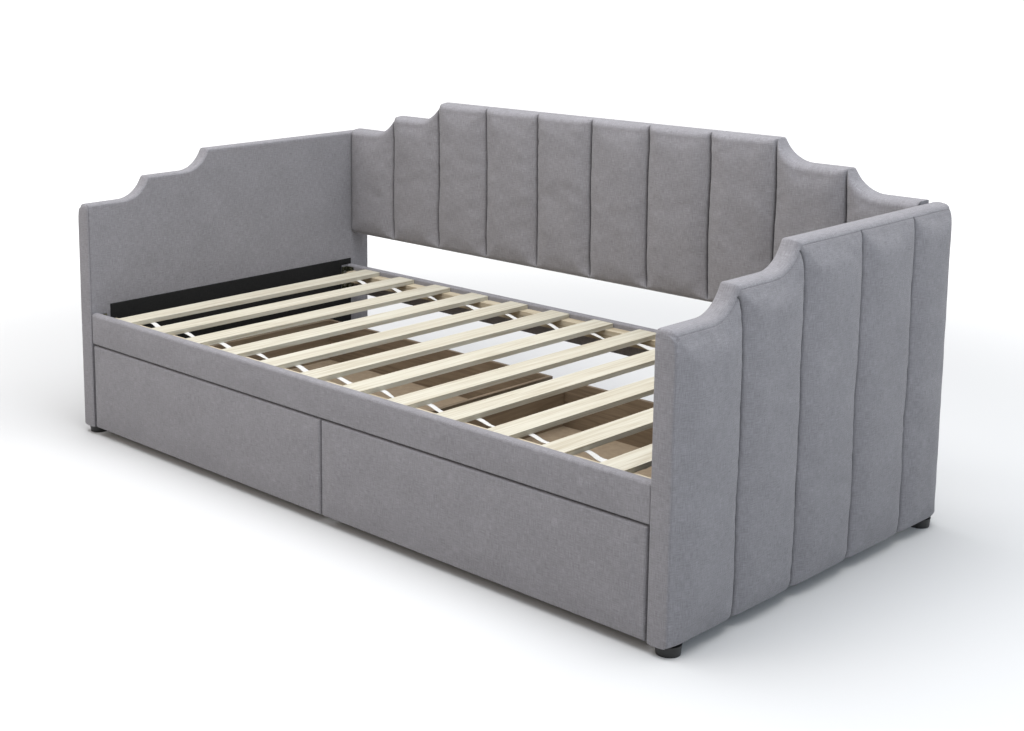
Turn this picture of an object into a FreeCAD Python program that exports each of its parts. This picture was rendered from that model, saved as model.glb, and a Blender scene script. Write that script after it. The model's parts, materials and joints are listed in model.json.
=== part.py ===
import FreeCAD, Part
import math
import os
import Sketcher

# Upholstered daybed with two rolling drawers under the slats.
# Millimetres. The origin is on the floor under the middle of the bed: +X runs along
# the bed, +Y from the front to the back and +Z up.

SLAT_COUNT = 12
LEDGE_SCREW_COUNT = 6

DRIVING_SIZES = {
    # bed
    "inside_length": 1925.0,
    "bed_depth": 1070.0,
    # feet
    "foot_height": 22.0,
    "foot_radius": 27.5,
    "foot_taper": 2.5,
    "foot_inset": 36.0,
    "foot_shoulder": 10.0,
    "foot_recess_radius": 6.0,
    "foot_screw_bite": 30.0,
    # side panels, level by level from the front to the back
    "side_low": 661.0,
    "side_mid": 720.0,
    "side_high": 779.0,
    "side_first_step": 207.0,
    "side_second_step": 423.0,
    "step_sweep": 85.0,
    "channel_pad": 20.0,
    "panel_board": 33.0,
    "plain_pad": 4.0,
    "edge_pad": 5.0,
    # back panel, its steps measured from its ends
    "back_low": 785.0,
    "back_mid": 841.0,
    "back_high": 897.0,
    "back_first_step": 189.5,
    "back_second_step": 384.5,
    "back_bottom": 451.0,
    "back_setback": 18.0,
    # front and rear rails
    "rail_bottom": 265.0,
    "rail_height": 86.0,
    "rail_board": 17.0,
    "rail_pad": 4.0,
    "front_rail_setback": 3.0,
    "rear_rail_setback": 67.0,
    # slat deck
    "ledge_depth": 36.0,
    "ledge_height": 30.0,
    "slat_width": 65.0,
    "slat_thickness": 12.0,
    "slat_drop": 3.0,
    "slat_margin": 85.75,
    "slat_end_gap": 0.5,
    "web_width": 15.0,
    "web_thickness": 1.2,
    "front_web_inset": 75.0,
    "rear_web_inset": 92.0,
    # dust cloth on each side panel
    "cloth_thickness": 1.0,
    "cloth_bottom": 60.0,
    "cloth_rise": 20.0,
    "cloth_gap": 2.0,
    "cloth_rear_inset": 10.0,
    # brackets and their bolts
    "plate_thickness": 3.0,
    "rail_bracket_leg": 30.0,
    "rail_bracket_arm": 24.0,
    "rail_bracket_lift": 3.0,
    "rail_bracket_drop": 5.0,
    "back_bracket_leg": 40.0,
    "back_bracket_arm": 17.0,
    "back_bracket_height": 120.0,
    "back_bracket_bottom": 560.0,
    "bolt_radius": 2.5,
    "bolt_length": 18.0,
    "bolt_head_radius": 5.0,
    "bolt_head_height": 3.0,
    "bolt_inset": 18.0,
    "bolt_gap": 0.1,
    # wood screws
    "screw_radius": 2.0,
    "screw_length": 40.0,
    "ledge_screw_length": 47.0,
    "screw_head_radius": 4.0,
    "screw_head_height": 3.0,
    "screw_inset": 30.0,
    # drawers
    "drawer_side_gap": 5.0,
    "drawer_split": 3.0,
    "drawer_top_gap": 4.0,
    "drawer_setback": 2.0,
    "drawer_face_pad": 7.0,
    "drawer_edge_pad": 3.0,
    "drawer_board": 17.0,
    "drawer_rear_room": 190.0,
    "box_inset": 18.0,
    "box_wall": 12.0,
    "box_height": 140.0,
    "box_floor_gap": 52.0,
    "bottom_thickness": 5.0,
    "bottom_lift": 6.0,
    "groove_depth": 5.0,
    "groove_gap": 0.2,
    # drawer wheels
    "wheel_radius": 20.0,
    "wheel_width": 12.0,
    "wheel_rim": 4.0,
    "wheel_recess": 2.5,
    "hub_radius": 8.0,
    "axle_radius": 3.0,
    "axle_gap": 0.1,
    "rivet_radius": 4.5,
    "rivet_height": 1.5,
    "fork_gap": 1.0,
    "fork_wall": 2.0,
    "fork_plate": 2.5,
    "fork_length": 44.0,
    "fork_leg": 14.0,
    "fork_flange": 6.0,
    "front_wheel_inset": 60.0,
    "rear_wheel_inset": 50.0,
}

# One step of a padded panel's top is an arc that leaves the lower level flat
# and meets the upper level at a corner: RISE goes up, FALL comes down.
LINE = "line"
RISE = "rise"
FALL = "fall"

TURN_TO = {
    "x": FreeCAD.Rotation(FreeCAD.Vector(0, 1, 0), 90),
    "y": FreeCAD.Rotation(FreeCAD.Vector(1, 0, 0), -90),
    "z": FreeCAD.Rotation(),
}

doc = FreeCAD.newDocument("daybed")
nodes = []


class Size:
    """A length that carries its value and its formula over the sheet's cells."""

    def __init__(self, value, formula):
        self.value = value
        self.formula = formula

    def __add__(self, other):
        other = as_size(other)
        return Size(self.value + other.value, f"({self.formula} + {other.formula})")

    def __sub__(self, other):
        other = as_size(other)
        return Size(self.value - other.value, f"({self.formula} - {other.formula})")

    def __mul__(self, other):
        other = as_size(other)
        return Size(self.value * other.value, f"({self.formula} * {other.formula})")

    def __truediv__(self, other):
        other = as_size(other)
        return Size(self.value / other.value, f"({self.formula} / {other.formula})")

    def __neg__(self):
        return Size(-self.value, f"(0 - {self.formula})")


def as_size(value):
    if isinstance(value, Size):
        return value
    return Size(float(value), f"({float(value)})")


def write_sheet():
    """Put the driving sizes in a spreadsheet and return them as Size values."""
    sheet = doc.addObject("Spreadsheet::Sheet", "Sizes")
    sizes = {}
    for row, (name, value) in enumerate(DRIVING_SIZES.items(), start=1):
        sheet.set(f"A{row}", name)
        sheet.set(f"B{row}", str(value))
        sheet.setAlias(f"B{row}", name)
        sizes[name] = Size(value, f"Sizes.{name}")
    doc.recompute()
    return sizes


def bind(item, field, size):
    item.setExpression(field, as_size(size).formula)


def move_to(item, x, y, z):
    for axis, size in zip("xyz", (x, y, z)):
        bind(item, f"Placement.Base.{axis}", size)


def box(x, y, z):
    """A box from three (edge, edge) pairs, given in either order."""
    item = doc.addObject("Part::Box", "Block")
    lows = []
    for field, pair in zip(("Length", "Width", "Height"), (x, y, z)):
        low, high = sorted(map(as_size, pair), key=lambda size: size.value)
        bind(item, field, high - low)
        lows.append(low)
    move_to(item, *lows)
    return item


def rod(axis, radius, start, end, at):
    """A cylinder along x, y or z between two places; at holds its other two coordinates."""
    low, high = sorted(map(as_size, (start, end)), key=lambda size: size.value)
    item = doc.addObject("Part::Cylinder", "Rod")
    item.Placement = FreeCAD.Placement(FreeCAD.Vector(), TURN_TO[axis])
    bind(item, "Radius", radius)
    bind(item, "Height", high - low)
    base = list(at)
    base.insert("xyz".index(axis), low)
    move_to(item, *base)
    return item


def fuse(pieces):
    item = doc.addObject("Part::MultiFuse", "Joined")
    item.Shapes = pieces
    return item


def cut(base, tools):
    item = doc.addObject("Part::Cut", "Drilled")
    item.Base = base
    item.Tool = tools[0] if len(tools) == 1 else fuse(tools)
    return item


def group(pieces):
    item = doc.addObject("Part::Compound", "Set")
    item.Links = pieces
    return item


def add_node(name, item):
    item.Label = name
    nodes.append(item)
    return item


def new_body():
    return doc.addObject("PartDesign::Body", "Body")


def plane_of(body, role):
    return next(item for item in body.Origin.OriginFeatures if item.Role == role)


def sweep_arc(low, high, rise):
    """The arc that is level at its low end and ends at the high one."""
    across = high.x - low.x
    up = high.y - low.y
    radius = (across ** 2 + up ** 2) / (2 * up)
    centre = FreeCAD.Vector(low.x, low.y + radius, 0)
    circle = Part.Circle(centre, FreeCAD.Vector(0, 0, 1), radius)
    reach = math.asin(abs(across) / radius)
    down = -math.pi / 2
    if rise:
        return Part.ArcOfCircle(circle, down, down + reach)
    return Part.ArcOfCircle(circle, down - reach, down)


def outline(body, role, offset, corners):
    """A closed sketch through corners (across, up, kind of side to the next corner)."""
    sketch = body.newObject("Sketcher::SketchObject", "Outline")
    sketch.AttachmentSupport = [(plane_of(body, role), "")]
    sketch.MapMode = "FlatFace"
    bind(sketch, "AttachmentOffset.Base.z", offset)
    points = [FreeCAD.Vector(as_size(across).value, as_size(up).value, 0) for across, up, _ in corners]
    kinds = [kind for _, _, kind in corners]
    count = len(corners)
    for index, kind in enumerate(kinds):
        here = points[index]
        there = points[(index + 1) % count]
        if kind == RISE:
            sketch.addGeometry(sweep_arc(here, there, True))
        elif kind == FALL:
            sketch.addGeometry(sweep_arc(there, here, False))
        else:
            sketch.addGeometry(Part.LineSegment(here, there))
    for index, kind in enumerate(kinds):
        following = (index + 1) % count
        level_joint = kind == FALL or kinds[following] == RISE
        joint = "Tangent" if level_joint else "Coincident"
        sketch.addConstraint(Sketcher.Constraint(joint, index, 2, following, 1))
    for index, (across, up, _) in enumerate(corners):
        for direction, place in (("DistanceX", across), ("DistanceY", up)):
            place = as_size(place)
            number = sketch.addConstraint(
                Sketcher.Constraint(direction, -1, 1, index, 1, place.value)
            )
            bind(sketch, f"Constraints[{number}]", place)
    return sketch


def pad(body, sketch, length, backwards):
    feature = body.newObject("PartDesign::Pad", "Pad")
    feature.Profile = sketch
    feature.Reversed = backwards
    bind(feature, "Length", length)
    return feature


def pocket(body, sketch, length, backwards):
    feature = body.newObject("PartDesign::Pocket", "Pocket")
    feature.Profile = sketch
    feature.Reversed = backwards
    bind(feature, "Length", length)
    return feature


size = write_sheet()

half_inside = size["inside_length"] / 2
front = -(size["bed_depth"] / 2)
rear = size["bed_depth"] / 2
panel_thickness = size["plain_pad"] + size["panel_board"] + size["channel_pad"]
floor = as_size(0)

rail_thickness = size["rail_board"] + size["rail_pad"] * 2
rail_top = size["rail_bottom"] + size["rail_height"]
front_rail_outer = front + size["front_rail_setback"]
front_rail_inner = front_rail_outer + rail_thickness
rear_rail_outer = rear - size["rear_rail_setback"]
rear_rail_inner = rear_rail_outer - rail_thickness

slat_top = rail_top - size["slat_drop"]
ledge_top = slat_top - size["slat_thickness"]
ledge_bottom = ledge_top - size["ledge_height"]
ledge_half = half_inside - size["rail_bracket_leg"] - size["cloth_gap"]
front_ledge_inner = front_rail_inner + size["ledge_depth"]
rear_ledge_inner = rear_rail_inner - size["ledge_depth"]

back_rear_face = rear - size["back_setback"]
back_front_face = back_rear_face - panel_thickness

rail_bracket_bottom = size["rail_bottom"] + size["rail_bracket_lift"]
rail_bracket_top = rail_top - size["rail_bracket_drop"]
back_bracket_top = size["back_bracket_bottom"] + size["back_bracket_height"]


def headed_pin(axis, way, seat, at, radius, length, head_radius, head_height):
    """A screw or bolt: its head sits on the seat and its shank runs the given way."""
    shank = rod(axis, radius, seat, seat + length * way, at)
    head = rod(axis, head_radius, seat, seat - head_height * way, at)
    return fuse([shank, head])


def pin_hole(axis, way, seat, at, radius, length):
    return rod(axis, radius + size["bolt_gap"], seat, seat + (length + size["bolt_gap"]) * way, at)


def side_outline(inset):
    """Side panel seen from its side: three levels that climb towards the back."""
    sweep = size["step_sweep"] + inset
    first = front + size["side_first_step"] + inset
    second = front + size["side_second_step"] + inset
    low = size["side_low"] - inset
    mid = size["side_mid"] - inset
    high = size["side_high"] - inset
    bottom = size["foot_height"]
    return [
        (front + inset, bottom, LINE),
        (front + inset, low, LINE),
        (first - sweep, low, RISE),
        (first, mid, LINE),
        (second - sweep, mid, RISE),
        (second, high, LINE),
        (rear - inset, high, LINE),
        (rear - inset, bottom, LINE),
    ]


def back_outline(inset):
    """Back panel seen from the front: low, middle and high levels, the same both ways."""
    sweep = size["step_sweep"] + inset
    end = half_inside - inset
    first = half_inside - size["back_first_step"] - inset
    second = half_inside - size["back_second_step"] - inset
    low = size["back_low"] - inset
    mid = size["back_mid"] - inset
    high = size["back_high"] - inset
    bottom = size["back_bottom"] + inset
    return [
        (-end, bottom, LINE),
        (-end, low, LINE),
        (-(first + sweep), low, RISE),
        (-first, mid, LINE),
        (-(second + sweep), mid, RISE),
        (-second, high, LINE),
        (second, high, FALL),
        (second + sweep, mid, LINE),
        (first, mid, FALL),
        (first + sweep, low, LINE),
        (end, low, LINE),
        (end, bottom, LINE),
    ]


class BoltPlace:
    """Where a bolt's head sits, which way its shank runs and what it goes through."""

    def __init__(self, axis, way, seat, at, targets):
        self.axis = axis
        self.way = way
        self.seat = seat
        self.at = at
        self.targets = targets

    def bolt(self):
        return headed_pin(
            self.axis, self.way, self.seat, self.at, size["bolt_radius"],
            size["bolt_length"], size["bolt_head_radius"], size["bolt_head_height"],
        )

    def hole(self):
        return pin_hole(
            self.axis, self.way, self.seat, self.at, size["bolt_radius"], size["bolt_length"]
        )


def rail_bracket_bolts(side, name, face, inward):
    """Two bolts through the leg on the rail and two through the arm on the side panel."""
    plate_face = face + size["plate_thickness"] * inward
    panel_face = (half_inside - size["plate_thickness"]) * side
    leg_x = (half_inside - size["bolt_inset"]) * side
    arm_y = face + (size["rail_bracket_arm"] - size["bolt_head_radius"] * 2) * inward
    places = []
    for height in (
        rail_bracket_bottom + size["bolt_inset"],
        rail_bracket_top - size["bolt_inset"],
    ):
        places.append(BoltPlace("y", -inward, plate_face, (leg_x, height), (f"{name}_rail",)))
        places.append(BoltPlace("x", side, panel_face, (arm_y, height), (SIDE_NAMES[side],)))
    return places


def back_bracket_bolts(side):
    """Two bolts into the back panel from behind and two into the side panel."""
    plate_face = back_rear_face + size["plate_thickness"]
    panel_face = (half_inside - size["plate_thickness"]) * side
    leg_x = (half_inside - size["back_bracket_leg"] + size["bolt_inset"]) * side
    arm_y = back_rear_face + size["back_bracket_arm"] / 2
    places = []
    for height in (
        size["back_bracket_bottom"] + size["bolt_inset"],
        back_bracket_top - size["bolt_inset"],
    ):
        places.append(BoltPlace("y", -1, plate_face, (leg_x, height), ("back",)))
        places.append(BoltPlace("x", side, panel_face, (arm_y, height), (SIDE_NAMES[side],)))
    return places


def holes_for(target, places):
    return [place.hole() for place in places if target in place.targets]


SIDE_NAMES = {-1: "left", 1: "right"}
RAIL_FACES = {"front": (front_rail_inner, 1), "rear": (rear_rail_inner, -1)}

rail_bolt_places = {
    (side, name): rail_bracket_bolts(side, name, face, inward)
    for side in SIDE_NAMES
    for name, (face, inward) in RAIL_FACES.items()
}
back_bolt_places = {side: back_bracket_bolts(side) for side in SIDE_NAMES}
all_bolt_places = [
    place
    for places in (*rail_bolt_places.values(), *back_bolt_places.values())
    for place in places
]


def foot_centres(side):
    across = (half_inside + panel_thickness / 2) * side
    return [(across, (rear - size["foot_inset"]) * way) for way in (-1, 1)]


def foot_screw_hole(centre):
    bite = size["foot_height"] - size["foot_shoulder"] + size["foot_screw_bite"]
    return pin_hole("z", 1, size["foot_shoulder"], centre, size["bolt_radius"], bite)


def make_side_panel(side):
    """A stepped board in a padded cover that is open underneath."""
    name = SIDE_NAMES[side]
    backwards = side < 0
    cover_body = new_body()
    skin = outline(cover_body, "YZ_Plane", half_inside * side, side_outline(as_size(0)))
    pad(cover_body, skin, panel_thickness, backwards)
    board_face = (half_inside + size["plain_pad"]) * side
    room = outline(cover_body, "YZ_Plane", board_face, side_outline(size["edge_pad"]))
    pocket(cover_body, room, size["panel_board"], not backwards)
    board_body = new_body()
    shape = outline(board_body, "YZ_Plane", board_face, side_outline(size["edge_pad"]))
    pad(board_body, shape, size["panel_board"], backwards)
    add_node(f"{name}_side_cover", cut(cover_body, holes_for(name, all_bolt_places)))
    screw_holes = [foot_screw_hole(centre) for centre in foot_centres(side)]
    board = cut(board_body, holes_for(name, all_bolt_places) + screw_holes)
    add_node(f"{name}_side_board", board)


def make_back_panel():
    """A stepped board in a padded cover, channelled on its front face."""
    board_face = -(back_rear_face - size["plain_pad"])
    cover_body = new_body()
    skin = outline(cover_body, "XZ_Plane", -back_rear_face, back_outline(as_size(0)))
    pad(cover_body, skin, panel_thickness, False)
    room = outline(cover_body, "XZ_Plane", board_face, back_outline(size["edge_pad"]))
    pocket(cover_body, room, size["panel_board"], True)
    board_body = new_body()
    shape = outline(board_body, "XZ_Plane", board_face, back_outline(size["edge_pad"]))
    pad(board_body, shape, size["panel_board"], False)
    add_node("back_cover", cut(cover_body, holes_for("back", all_bolt_places)))
    add_node("back_board", cut(board_body, holes_for("back", all_bolt_places)))


def ledge_screw_places(face, inward):
    """Screw centres along a ledge, its head seats and the way the screws run."""
    first = -(ledge_half - size["screw_inset"])
    pitch = (ledge_half - size["screw_inset"]) * 2 / (LEDGE_SCREW_COUNT - 1)
    height = (ledge_top + ledge_bottom) / 2
    seat = face + (size["ledge_depth"] - size["screw_head_height"]) * inward
    return [(first + pitch * index, height) for index in range(LEDGE_SCREW_COUNT)], seat


def make_rail(name, outer):
    """A padded board between the side panels, with the slats' ledge screwed inside it."""
    inner, inward = RAIL_FACES[name]
    across = (-half_inside, half_inside)
    board_outer = outer + size["rail_pad"] * inward
    board_inner = inner - size["rail_pad"] * inward
    board_height = (size["rail_bottom"] + size["rail_pad"], rail_top - size["rail_pad"])
    centres, seat = ledge_screw_places(inner, inward)
    length = size["ledge_screw_length"]
    holes = holes_for(f"{name}_rail", all_bolt_places)
    holes += [pin_hole("y", -inward, seat, at, size["screw_radius"], length) for at in centres]
    skin = box(across, (outer, inner), (size["rail_bottom"], rail_top))
    room = box(across, (board_outer, board_inner), board_height)
    add_node(f"{name}_rail_cover", cut(skin, [room] + holes))
    board = box(across, (board_outer, board_inner), board_height)
    add_node(f"{name}_rail_board", cut(board, holes))

    ledge_inner = inner + size["ledge_depth"] * inward
    ledge = box((-ledge_half, ledge_half), (inner, ledge_inner), (ledge_bottom, ledge_top))
    ledge_holes = []
    for at in centres:
        ledge_holes.append(pin_hole("y", -inward, seat, at, size["screw_radius"], length))
        recess = size["screw_head_radius"] + size["bolt_gap"]
        ledge_holes.append(rod("y", recess, seat, ledge_inner, at))
    add_node(f"{name}_slat_ledge", cut(ledge, ledge_holes))
    return [
        headed_pin("y", -inward, seat, at, size["screw_radius"], length,
                   size["screw_head_radius"], size["screw_head_height"])
        for at in centres
    ]


def make_slats():
    """Flat slats from rail to rail, on the ledges."""
    reach = half_inside - size["slat_margin"]
    pitch = (reach * 2 - size["slat_width"]) / (SLAT_COUNT - 1)
    length = (
        front_rail_inner + size["slat_end_gap"],
        rear_rail_inner - size["slat_end_gap"],
    )
    for index in range(SLAT_COUNT):
        edge = -reach + pitch * index
        slat = box((edge, edge + size["slat_width"]), length, (ledge_top, slat_top))
        add_node(f"slat_{index + 1:02d}", slat)


def make_webbing():
    """Two tapes under the slats that keep their spacing."""
    reach = half_inside - size["slat_margin"]
    height = (ledge_top - size["web_thickness"], ledge_top)
    middles = {
        "front_webbing": front_rail_inner + size["front_web_inset"],
        "rear_webbing": rear_rail_inner - size["rear_web_inset"],
    }
    for name, middle in middles.items():
        half_width = size["web_width"] / 2
        tape = box((-reach, reach), (middle - half_width, middle + half_width), height)
        add_node(name, tape)


def make_dust_cloth(side):
    """Black cloth on a side panel's inner face, notched round the rear rail and its bracket."""
    near = front_ledge_inner + size["cloth_gap"]
    far = rear_rail_outer - size["cloth_rear_inset"]
    notch = rear_rail_inner - size["rail_bracket_arm"] - size["cloth_gap"]
    low = size["cloth_bottom"]
    notch_low = size["rail_bottom"] - size["cloth_gap"]
    notch_high = rail_top + size["cloth_gap"]
    top = rail_top + size["cloth_rise"]
    corners = [
        (near, low, LINE), (far, low, LINE), (far, notch_low, LINE), (notch, notch_low, LINE),
        (notch, notch_high, LINE), (far, notch_high, LINE), (far, top, LINE), (near, top, LINE),
    ]
    body = new_body()
    sketch = outline(body, "YZ_Plane", half_inside * side, corners)
    pad(body, sketch, size["cloth_thickness"], side > 0)
    add_node(f"{SIDE_NAMES[side]}_dust_cloth", body)


def make_angle(side, face, inward, leg, arm, low, high, places):
    """A steel angle in the corner between a side panel and a face across the bed."""
    inner = half_inside * side
    plate = size["plate_thickness"]
    leg_plate = box((inner, (half_inside - leg) * side), (face, face + plate * inward), (low, high))
    arm_plate = box((inner, (half_inside - plate) * side), (face, face + arm * inward), (low, high))
    drilled = []
    for place in places:
        back_off = place.seat - plate * place.way
        drilled.append(
            rod(place.axis, size["bolt_radius"] + size["bolt_gap"],
                back_off, place.seat + plate * 2 * place.way, place.at)
        )
    return cut(fuse([leg_plate, arm_plate]), drilled)


def make_brackets():
    rail_angles = []
    for (side, name), places in rail_bolt_places.items():
        face, inward = RAIL_FACES[name]
        rail_angles.append(
            make_angle(side, face, inward, size["rail_bracket_leg"], size["rail_bracket_arm"],
                       rail_bracket_bottom, rail_bracket_top, places)
        )
    add_node("rail_brackets", group(rail_angles))
    for side, places in back_bolt_places.items():
        angle = make_angle(side, back_rear_face, 1, size["back_bracket_leg"],
                           size["back_bracket_arm"], size["back_bracket_bottom"],
                           back_bracket_top, places)
        add_node(f"{SIDE_NAMES[side]}_back_bracket", angle)
    add_node("frame_bolts", group([place.bolt() for place in all_bolt_places]))


def make_feet():
    """Turned plastic feet, each on a screw that goes up into its side board."""
    screws = []
    bite = size["foot_height"] - size["foot_shoulder"] + size["foot_screw_bite"]
    for side, side_name in SIDE_NAMES.items():
        for centre, end_name in zip(foot_centres(side), ("front", "rear")):
            block = doc.addObject("Part::Cone", "Foot")
            bind(block, "Radius1", size["foot_radius"] - size["foot_taper"])
            bind(block, "Radius2", size["foot_radius"])
            bind(block, "Height", size["foot_height"])
            move_to(block, *centre, floor)
            recess = rod("z", size["foot_recess_radius"], floor, size["foot_shoulder"], centre)
            foot = cut(block, [recess, foot_screw_hole(centre)])
            add_node(f"{end_name}_{side_name}_foot", foot)
            screws.append(
                headed_pin("z", 1, size["foot_shoulder"], centre, size["bolt_radius"],
                           bite, size["bolt_head_radius"], size["bolt_head_height"])
            )
    add_node("foot_screws", group(screws))


# Drawers, made once for each side of the bed's middle.
drawer_face = front + size["drawer_setback"]
board_front = drawer_face + size["drawer_face_pad"]
board_rear = board_front + size["drawer_board"]
drawer_low = size["foot_height"]
drawer_high = size["rail_bottom"] - size["drawer_top_gap"]
box_rear = rear - size["drawer_rear_room"]
box_low = size["box_floor_gap"]
box_high = box_low + size["box_height"]
bottom_low = box_low + size["bottom_lift"]
bottom_high = bottom_low + size["bottom_thickness"]
centre_edge = size["drawer_split"] / 2
outer_edge = half_inside - size["drawer_side_gap"]


def drawer_walls(side):
    """Outer and inner faces of the wall by the bed's side and of the one by its middle."""
    wall = size["box_wall"]
    by_panel = (outer_edge - size["box_inset"]) * side
    by_middle = (centre_edge + size["box_inset"]) * side
    return {
        "outer_wall": (by_panel, by_panel - wall * side),
        "inner_wall": (by_middle, by_middle + wall * side),
    }


def drawer_screw_places(side):
    """Screws through the front board into the walls, then through the walls into the back."""
    inset = size["screw_inset"]
    heights = (box_low + inset, box_high - inset)
    front_places = []
    rear_places = []
    sink = size["screw_head_height"]
    for name, (outer, inner) in drawer_walls(side).items():
        way = 1 if inner.value > outer.value else -1
        for height in heights:
            middle = (outer + inner) / 2
            front_places.append(("y", 1, board_front + sink, (middle, height), name))
            behind = box_rear - size["box_wall"] / 2
            rear_places.append(("x", way, outer + sink * way, (behind, height), name))
    return front_places, rear_places


def screw_room(place, sunk_from):
    """A screw's hole with the recess for its head."""
    axis, way, seat, at, name = place
    recess = size["screw_head_radius"] + size["bolt_gap"]
    return [
        pin_hole(axis, way, seat, at, size["screw_radius"], size["screw_length"]),
        rod(axis, recess, sunk_from, seat, at),
    ]


def make_drawer_box(side, prefix):
    walls = drawer_walls(side)
    front_places, rear_places = drawer_screw_places(side)
    across = (centre_edge * side, outer_edge * side)
    edge = size["drawer_edge_pad"]
    board_across = ((centre_edge + edge) * side, (outer_edge - edge) * side)
    board_up = (drawer_low + edge, drawer_high - edge)

    skin = box(across, (drawer_face, board_rear), (drawer_low, drawer_high))
    room = box(board_across, (board_front, board_rear), board_up)
    add_node(f"{prefix}_front_cover", cut(skin, [room]))
    board = box(board_across, (board_front, board_rear), board_up)
    holes = [hole for place in front_places for hole in screw_room(place, board_front)]
    add_node(f"{prefix}_front_board", cut(board, holes))

    gap = size["groove_gap"]
    groove_up = (bottom_low - gap, bottom_high + gap)
    groove = size["groove_depth"]
    for name, (outer, inner) in walls.items():
        way = 1 if inner.value > outer.value else -1
        wall = box((outer, inner), (board_rear, box_rear), (box_low, box_high))
        tools = [box((inner - groove * way, inner), (board_rear, box_rear), groove_up)]
        for place in front_places:
            if place[-1] == name:
                tools.append(screw_room(place, board_front)[0])
        for place in rear_places:
            if place[-1] == name:
                tools += screw_room(place, outer)
        add_node(f"{prefix}_{name}", cut(wall, tools))

    inner_faces = [inner for outer, inner in walls.values()]
    back_front = box_rear - size["box_wall"]
    back_wall = box(inner_faces, (back_front, box_rear), (box_low, box_high))
    tools = [box(inner_faces, (back_front, back_front + groove), groove_up)]
    for place in rear_places:
        tools.append(screw_room(place, walls[place[-1]][0])[0])
    add_node(f"{prefix}_back_wall", cut(back_wall, tools))

    tongue = groove - gap
    near, far = sorted(inner_faces, key=lambda face: face.value)
    bottom = box((near - tongue, far + tongue), (board_rear + gap, back_front + tongue),
                 (bottom_low, bottom_high))
    add_node(f"{prefix}_bottom", bottom)

    screws = [
        headed_pin(axis, way, seat, at, size["screw_radius"], size["screw_length"],
                   size["screw_head_radius"], size["screw_head_height"])
        for axis, way, seat, at, name in front_places + rear_places
    ]
    add_node(f"{prefix}_screws", group(screws))


def make_wheel(x, y):
    """A moulded wheel: a recessed web between its rim and hub, turned about its bore."""
    body = new_body()
    half_width = size["wheel_width"] / 2
    web = half_width - size["wheel_recess"]
    rim = size["wheel_radius"] - size["wheel_rim"]
    soft = size["wheel_recess"] / 2
    bore = size["axle_radius"] + size["axle_gap"]
    tread = size["wheel_radius"]
    half_profile = [
        (half_width, bore), (half_width, size["hub_radius"]), (web, size["hub_radius"]),
        (web, rim), (half_width, rim), (half_width, tread - soft), (half_width - soft, tread),
    ]
    mirrored = [(-across, up) for across, up in reversed(half_profile)]
    corners = [(across, up, LINE) for across, up in half_profile + mirrored]
    sketch = outline(body, "XZ_Plane", as_size(0), corners)
    feature = body.newObject("PartDesign::Revolution", "Turned")
    feature.Profile = sketch
    feature.ReferenceAxis = (sketch, ["H_Axis"])
    feature.Angle = 360
    move_to(body, x, y, size["wheel_radius"])
    return body


def make_fork(x, y):
    """A pressed fork under a drawer wall: a plate with a leg each side of the wheel."""
    leg_inside = size["wheel_width"] / 2 + size["fork_gap"]
    leg_outside = leg_inside + size["fork_wall"]
    plate_edge = leg_outside + size["fork_flange"]
    half_length = size["fork_length"] / 2
    half_leg = size["fork_leg"] / 2
    plate_low = box_low - size["fork_plate"]
    axle = size["wheel_radius"]
    pieces = [box((x - plate_edge, x + plate_edge), (y - half_length, y + half_length),
                  (plate_low, box_low))]
    for way in (-1, 1):
        across = (x + leg_inside * way, x + leg_outside * way)
        pieces.append(box(across, (y - half_leg, y + half_leg), (axle, plate_low)))
        pieces.append(rod("x", half_leg, *across, (y, axle)))
    bore = rod("x", size["axle_radius"] + size["axle_gap"], x - plate_edge, x + plate_edge, (y, axle))
    return cut(fuse(pieces), [bore])


def make_axle(x, y):
    """A rivet through the fork and the wheel, headed at both ends."""
    reach = size["wheel_width"] / 2 + size["fork_gap"] + size["fork_wall"]
    at = (y, size["wheel_radius"])
    shaft = rod("x", size["axle_radius"], x - reach, x + reach, at)
    heads = [
        rod("x", size["rivet_radius"], x + reach * way,
            x + (reach + size["rivet_height"]) * way, at)
        for way in (-1, 1)
    ]
    return fuse([shaft] + heads)


def make_wheels(side, prefix):
    rows = {
        "front": board_rear + size["front_wheel_inset"],
        "rear": box_rear - size["rear_wheel_inset"],
    }
    columns = [(outer + inner) / 2 for outer, inner in drawer_walls(side).values()]
    for name, y in rows.items():
        add_node(f"{prefix}_{name}_wheels", group([make_wheel(x, y) for x in columns]))
    places = [(x, y) for y in rows.values() for x in columns]
    add_node(f"{prefix}_wheel_forks", group([make_fork(x, y) for x, y in places]))
    add_node(f"{prefix}_axles", group([make_axle(x, y) for x, y in places]))


def check_all():
    """Stop on anything that failed to build, before a file is written."""
    for item in doc.Objects:
        if "Invalid" in item.State or "Error" in item.State:
            raise RuntimeError(f"{item.Label} did not build: {item.State}")
    for item in nodes:
        if item.Shape.isNull() or not item.Shape.isValid() or not item.Shape.Solids:
            raise RuntimeError(f"{item.Label} has no sound shape")


def export_all():
    os.makedirs("parts", exist_ok=True)
    for item in nodes:
        item.Shape.exportStep(f"parts/{item.Label}.step")


for side in SIDE_NAMES:
    make_side_panel(side)
    make_dust_cloth(side)
make_back_panel()
ledge_screws = make_rail("front", front_rail_outer) + make_rail("rear", rear_rail_outer)
add_node("ledge_screws", group(ledge_screws))
make_slats()
make_webbing()
make_brackets()
make_feet()
for side, side_name in SIDE_NAMES.items():
    make_drawer_box(side, f"{side_name}_drawer")
    make_wheels(side, f"{side_name}_drawer")

doc.recompute()
check_all()
export_all()
print(len(nodes), "nodes written")
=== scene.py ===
import bpy
import json
import math
import numpy as np
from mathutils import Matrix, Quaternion, Vector


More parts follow.
